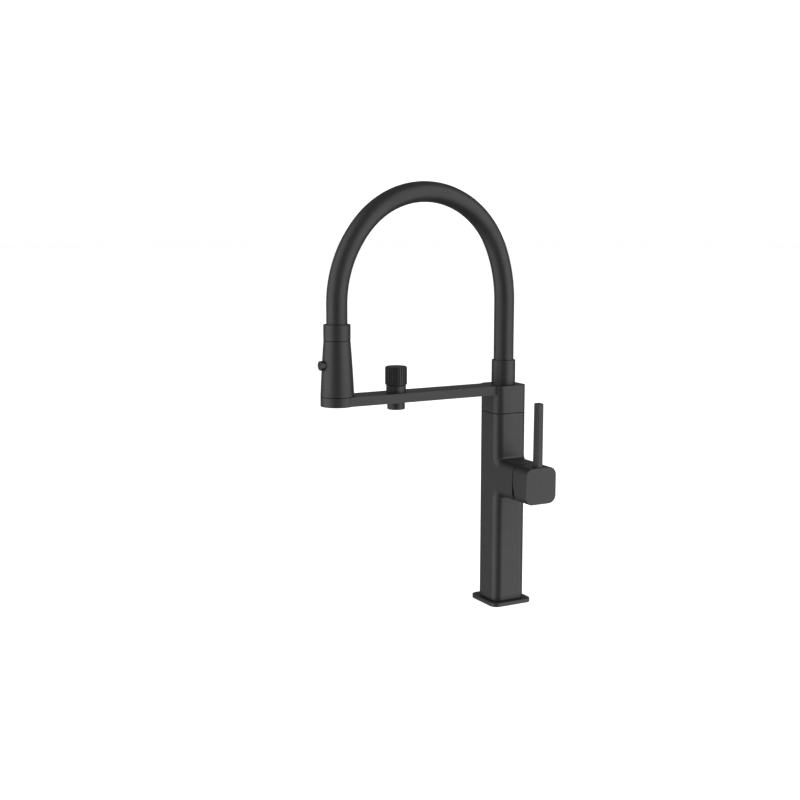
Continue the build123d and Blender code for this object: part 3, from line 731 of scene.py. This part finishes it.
handleLow, handleHigh = boxOf("lever_handle")
handle = {
    "capHeight": 40.2, "corner": 9.0, "rim": 0.8, "wedge": 14.6, "lip": 0.25,
    "leverBack": 64.8, "leverFront": 74.6, "leverLean": 1.1, "leverWidth": 7.2, "leverEdge": 1.1,
    "leverRoot": 5.0,  # how far over the axis the lever starts, inside the cap
    "footFillet": 1.0, "cavity": (15.6, 61.5), "socket": (5.9, 7.1, 69.5),
    "screwAt": 66.0, "screwHole": 2.05, "plugHole": (2.8, 3.0),
}


def makeHandle():
    axis, half = mixerAxis, handle["capHeight"] / 2
    front, back = handleHigh.x, handleLow.x
    width = handleHigh.y - handleLow.y
    piece = straight("mixer_handle", ((front + back) / 2, 0, axis), (front - back, width, 2 * half))
    roundCorners(piece, 0, handle["corner"], 12)
    openForEdit(piece)
    pick(piece, "EDGE", lambda edge: min(vert.co.x for vert in edge.verts) > (front - hairline) * mm)
    bevelPicked(handle["rim"], 5)
    # the lower back is cut away on a slope, which is the room that the handle tilts into
    slope = radians(handle["wedge"])
    bpy.ops.mesh.select_all(action="SELECT")
    bpy.ops.mesh.bisect(
        plane_co=(back * mm, 0, axis * mm), plane_no=(-cos(slope), 0, -sin(slope)),
        use_fill=True, clear_outer=True,
    )
    clearSelection()

    leverFoot, leverTop = axis + handle["leverRoot"], handleHigh.z
    leverBack, leverFront, leverWidth = handle["leverBack"], handle["leverFront"], handle["leverWidth"]
    lever = straight(
        "lever", ((leverFront + leverBack) / 2, 0, (leverFoot + leverTop) / 2),
        (leverFront - leverBack, leverWidth, leverTop - leverFoot),
    )

    def atTop(vert):
        return vert.co.z > (leverTop - hairline) * mm

    openForEdit(lever)
    pick(lever, "VERT", lambda vert: atTop(vert) and vert.co.x < (leverBack + hairline) * mm)
    bpy.ops.transform.translate(value=(handle["leverLean"] * mm, 0, 0))
    pick(lever, "EDGE", lambda edge: any(atTop(vert) for vert in edge.verts))
    bevelPicked(handle["leverEdge"], 4, clamped=True)
    clearSelection()
    joinOrCut(piece, lever, "UNION")

    def atFoot(edge):
        # the concave corner where the lever leaves the cap
        at = middle(edge)
        near = leverBack - hairline < at.x < leverFront + hairline and abs(at.y) < leverWidth
        steep = abs(edge.calc_face_angle_signed(0)) > radians(60)
        return near and steep and abs(at.z - axis - half) < hairline

    openForEdit(piece)
    pick(piece, "EDGE", atFoot)
    bevelPicked(handle["footFillet"], 4, clamped=True)
    clearSelection()
    radius, end = handle["cavity"]
    drill(piece, radius, (back - past, 0, axis), (end, 0, axis))
    across, tall, stop = handle["socket"]
    start = end - past
    socket = straight("socket", ((start + stop) / 2, 0, axis), (stop - start, across, tall))
    joinOrCut(piece, socket, "DIFFERENCE")
    foot, at = axis - half, handle["screwAt"]
    drill(piece, handle["screwHole"], (at, 0, foot - past), (at, 0, axis), sides=32)
    radius, depth = handle["plugHole"]
    drill(piece, radius, (at, 0, foot - past), (at, 0, foot + depth), sides=48)
    softenEdges(piece, handle["lip"], angle=50)
    finished(piece, "handle", "matte_black_metal", "lever_handle")


# Fluted knob of the arm's outlet

knobLow, knobHigh = boxOf("outlet_knob")
knob = {
    "radius": 11.75, "bevel": 0.9, "topRim": 0.2, "hollow": (8.8, 12.5),
    "flutes": 28, "fluteRadius": 0.75, "fluteIn": 0.2, "perFlute": 12,  # corners of the rim for each flute
}


def makeKnob():
    radius, bevel, foot, top = knob["radius"], knob["bevel"], knobLow.z, knobHigh.z
    sides = knob["flutes"] * knob["perFlute"]
    piece = turned("fluted_knob", [
        (radius - bevel, foot), (radius, foot + bevel), (radius, top - bevel), (radius - bevel, top),
    ], sides=sides, cap=True)
    pitch = tau * radius / sides
    deepest = bevel - 0.05  # a deeper flute would turn the bevel over
    openForEdit(piece)
    for step in range(knob["perFlute"] // 2):
        # the corners that lie this many steps from a flute's middle go in as deep as the round cutter does
        room = knob["fluteRadius"] ** 2 - (step * pitch) ** 2
        if room <= 0:
            break
        depth = min(sqrt(room) + knob["fluteIn"], deepest)
        ratio = (radius - depth) / radius
        for level, lift in ((foot + bevel, -depth), (top - bevel, depth)):

            def inFlute(vert):
                corner = round(atan2(vert.co.y, vert.co.x) / tau * sides) % knob["perFlute"]
                onStep = min(corner, knob["perFlute"] - corner) == step
                return onStep and abs(vert.co.z / mm - level) < hairline

            pick(piece, "VERT", inFlute)
            bpy.ops.transform.resize(value=(ratio, ratio, 1), center_override=(0, 0, 0))
            bpy.ops.transform.translate(value=(0, 0, lift * mm))
    hollow, depth = knob["hollow"]
    pick(piece, "FACE", lambda face: face.normal.z < -0.99)
    bpy.ops.mesh.inset(thickness=(radius - bevel - hollow) * mm)
    bpy.ops.mesh.extrude_region_move(TRANSFORM_OT_translate={"value": (0, 0, depth * mm)})
    pick(piece, "EDGE", lambda edge: above(edge, top))
    bevelPicked(knob["topRim"], 2, clamped=True)
    clearSelection()
    moveTo(piece, (0, -outletReach, 0))
    finished(piece, "knob", "matte_black_metal", "outlet_knob", smooth=32)


# Turned shells: the sleeve on the block, the collars and the nozzle under the arm

shells = {
    # outer radius at the foot and at the top, inner radius, and the lip (radius, height) that holds the hose
    "riser_sleeve": {
        "body": "swivel_head", "reach": 0, "outer": (13.25, 13.15), "inner": 11.35, "rim": 0.5,
        "lowLip": (10.5, 1.4),
    },
    "spray_collar": {
        "body": "hose_end", "reach": sprayReach, "outer": (14.2, 14.2), "inner": 11.7, "rim": 0.5,
        "highLip": (11.35, 2.0),
    },
    "outlet_collar": {
        "body": "swivel_head", "reach": outletReach, "outer": (10.6, 10.6), "inner": 8.5, "rim": 0.4,
    },
}
shellEdge = 0.15
shellRim = 0.2  # how near the outside an edge of the top face lies to be part of its rim


def makeShells():
    for node, size in shells.items():
        low, high = (corner.z for corner in boxOf(node))
        footRadius, topRadius = size["outer"]
        inner = size["inner"]
        outline = [(inner, low), (footRadius, low), (topRadius, high), (inner, high)]
        if "lowLip" in size:
            lip, tall = size["lowLip"]
            outline = [(lip, low)] + outline[1:] + [(inner, low + tall), (lip, low + tall)]
        if "highLip" in size:
            lip, tall = size["highLip"]
            outline = outline[:3] + [(lip, high), (lip, high - tall), (inner, high - tall)]
        piece = turned(node + "_shell", outline)

        def atTopRim(edge):
            at = middle(edge)
            return above(edge, high) and hypot(at.x, at.y) > topRadius - shellRim

        openForEdit(piece)
        pick(piece, "EDGE", atTopRim)
        bevelPicked(size["rim"], 4, clamped=True)
        clearSelection()
        softenEdges(piece, shellEdge)
        moveTo(piece, (0, -size["reach"], 0))
        finished(piece, size["body"], "matte_black_metal", node)


nozzle = {"outer": 9.5, "bevel": 0.5, "bore": (6.3, 7.0), "lipTop": 231.4}


def makeNozzle():
    low, high = (corner.z for corner in boxOf("outlet_nozzle"))
    outer, bevel, lipTop = nozzle["outer"], nozzle["bevel"], nozzle["lipTop"]
    narrow, wide = nozzle["bore"]
    piece = turned("outlet_nozzle_shell", [
        (narrow, low), (outer - bevel, low), (outer, low + bevel), (outer, high), (wide, high),
        (wide, lipTop), (narrow, lipTop),
    ])
    softenEdges(piece, shellEdge)
    moveTo(piece, (0, -outletReach, 0))
    finished(piece, "swivel_head", "matte_black_metal", "outlet_nozzle")


# Spray head

spray = {
    "foot": 17.7, "waist": 16.15, "top": 14.1, "footLevel": 249.1, "steps": 16, "lip": 0.4,
    "spigot": (12.2, 13.1), "groove": (14.0, 16.4, 2.5),  # of the ring that the magnet holds
    "bore": (11.9, 13.2), "boreFoot": 256.0, "boreStep": 290.0, "boreTop": 300.0,
    "buttonHole": (5.35, 281.8), "holeRim": 1.65,  # how far outside the hole its bent rim reaches
}


def makeSprayBody():
    low, high = (corner.z for corner in boxOf("spray_body"))
    foot = spray["footLevel"]
    spigotInner, spigotOuter = spray["spigot"]
    narrow, wide = spray["bore"]
    grooveInner, grooveOuter, grooveDepth = spray["groove"]
    outline = [
        (spigotInner, low), (spigotOuter, low), (spigotOuter, foot), (grooveInner, foot),
        (grooveInner, foot + grooveDepth), (grooveOuter, foot + grooveDepth), (grooveOuter, foot),
    ]
    for step in range(spray["steps"] + 1):
        # the outside bows in gently, as a curve through the radii at its foot, half way up and at its top
        share = step / spray["steps"]
        radius = (
            spray["foot"] * (1 - share) * (1 - 2 * share)
            + spray["waist"] * 4 * share * (1 - share)
            + spray["top"] * share * (2 * share - 1)
        )
        outline.append((radius, foot + share * (high - foot)))
    outline += [
        (narrow, high), (narrow, spray["boreTop"]), (wide, spray["boreStep"]),
        (wide, spray["boreFoot"]), (spigotInner, spray["boreFoot"]),
    ]
    piece = turned("spray_shell", outline)
    softenEdges(piece, spray["lip"], segments=3, angle=40)
    radius, level = spray["buttonHole"]
    start, end = -10, -22  # from inside the bore to well outside the shell
    drill(piece, radius, (0, start, level), (0, end, level), sides=64)

    def offTheHole(edge):
        at = middle(edge)
        return at.y > start - 2 or hypot(at.x, at.z - level) > radius + spray["holeRim"]

    softenEdges(piece, shellEdge, angle=60, keep=offTheHole)
    moveTo(piece, (0, -sprayReach, 0))
    finished(piece, "spray_head", "matte_black_metal", "spray_body")


button = {
    "cap": 5.05, "capFoot": 14.0, "face": 20.4, "rim": 1.0, "rimSteps": 6, "edge": 0.1,
    "stem": 3.1, "stemEnd": -8.0, "dish": (3.4, 2.9, 0.25),  # radius at its rim, at its floor, and depth
}


def makeButton():
    cap, rim, face, steps = button["cap"], button["rim"], button["face"], button["rimSteps"]
    dishRim, dishFloor, depth = button["dish"]
    stem, capFoot = button["stem"], button["capFoot"]
    outline = [(stem, button["stemEnd"]), (stem, capFoot), (cap, capFoot)]
    for step in range(steps + 1):
        turn = radians(90 * step / steps)
        outline.append((cap - rim + rim * cos(turn), face - rim + rim * sin(turn)))
    outline += [(dishRim, face), (dishFloor, face - depth)]
    piece = turned("spray_button", outline, sides=64, cap=True)
    softenEdges(piece, button["edge"], angle=60)
    holeLevel = spray["buttonHole"][1]
    moveTo(piece, (0, -sprayReach, holeLevel), turn=(radians(90), 0, 0))
    finished(piece, "button", "black_plastic", "mode_button")


# Hose arch: rubber water hose, coil of support wire and silicone sleeve, all on one line

arch = {
    "springsAt": 341.0, "radii": (156.0, 125.0), "turns": (22.0, 42.5), "stepLength": 3.0,
    "sleeve": {"outer": 11.05, "inner": 8.8, "start": 256.0, "end": 315.0, "roundness": 16},
    "waterHose": {"outer": 7.0, "inner": 4.75, "start": 252.0, "end": 315.0, "roundness": 10},
    "coil": {"radius": 7.85, "wire": 0.55, "pitch": 2.0, "start": 268.0, "end": 328.0, "stepsPerTurn": 16},
}


def archLine(name, start, end):
    # straight up, three arcs that flow into each other, and straight down into the spray
    (firstRadius, lastRadius), (firstTurn, lastTurn) = arch["radii"], arch["turns"]
    firstCos, lastCos = cos(radians(firstTurn)), cos(radians(lastTurn))
    crownReach = sprayReach - firstRadius * (1 - firstCos) - lastRadius * (1 - lastCos)
    crownRadius = crownReach / (firstCos + lastCos)
    crownTurn = 180 - firstTurn - lastTurn
    at = Vector((0, 0, arch["springsAt"]))
    steps = [("to", at.copy())]
    heading, length = 0, arch["springsAt"] - start
    for radius, turn in ((firstRadius, firstTurn), (crownRadius, crownTurn), (lastRadius, lastTurn)):
        centre = at - radius * Vector((0, cos(radians(heading)), sin(radians(heading))))
        arcLength = radius * radians(turn)
        steps.append(("round", centre, (1, 0, 0), turn, round(arcLength / arch["stepLength"])))
        heading += turn
        at = centre + radius * Vector((0, cos(radians(heading)), sin(radians(heading))))
        length += arcLength
    steps.append(("to", (0, -sprayReach, end)))
    line = drawLine(name, (0, 0, start), steps)
    makeActive(line)
    bpy.ops.object.convert(target="CURVE")
    line = bpy.context.object
    line.data.dimensions = "3D"
    return line, length + at.z - end


def bendWithSpray(piece):
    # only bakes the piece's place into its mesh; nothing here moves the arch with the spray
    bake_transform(piece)


def makeTube(name, size, slotName, node):
    line, length = archLine(name, size["start"], size["end"])
    line.data.bevel_depth = size["outer"] * mm
    line.data.bevel_resolution = size["roundness"]
    bpy.ops.object.convert(target="MESH")
    piece = bpy.context.object
    mergeAndPointOutwards(piece)
    applyModifier(piece, "SOLIDIFY", thickness=(size["outer"] - size["inner"]) * mm, offset=-1)
    finished(piece, None, slotName, node, smooth=40)
    bendWithSpray(piece)
    print(name, "is", round(length, 1), "mm long")


def makeCoil():
    size = arch["coil"]
    line, length = archLine("coilLine", size["start"] + size["wire"], size["end"] + size["wire"])
    clearSelection()
    bpy.ops.mesh.primitive_circle_add(
        vertices=8, radius=size["wire"] * mm, location=(size["radius"] * mm, 0, 0),
        rotation=(radians(90), 0, 0),
    )
    piece = named("support_coil")
    bpy.ops.object.transform_apply(location=True, rotation=True, scale=True)
    turns = int(length / size["pitch"]) - 1
    applyModifier(
        piece, "SCREW", axis="Z", angle=tau, iterations=turns, screw_offset=length / turns * mm,
        steps=size["stepsPerTurn"], render_steps=size["stepsPerTurn"],
    )
    openForEdit(piece)
    bpy.ops.mesh.select_all(action="SELECT")
    bpy.ops.mesh.remove_doubles(threshold=weld * mm)
    bpy.ops.mesh.fill_holes(sides=0)
    bpy.ops.mesh.normals_make_consistent(inside=False)
    clearSelection()
    applyModifier(piece, "CURVE", object=line, deform_axis="POS_Z")
    bpy.data.objects.remove(line)
    finished(piece, None, "stainless_steel", "hose_spring", smooth=60)
    bendWithSpray(piece)


def makeHoses():
    makeTube("hose_sleeve_arch", arch["sleeve"], "black_silicone", "hose_sleeve")
    makeTube("water_hose_arch", arch["waterHose"], "black_rubber", "water_hose")
    makeCoil()


makers = (
    makeBasePlate, makeColumn, makeArm, makeHandle, makeKnob, makeShells, makeNozzle, makeSprayBody,
    makeButton, makeHoses,
)
for make in makers:
    make()
    print(make.__name__, "done")
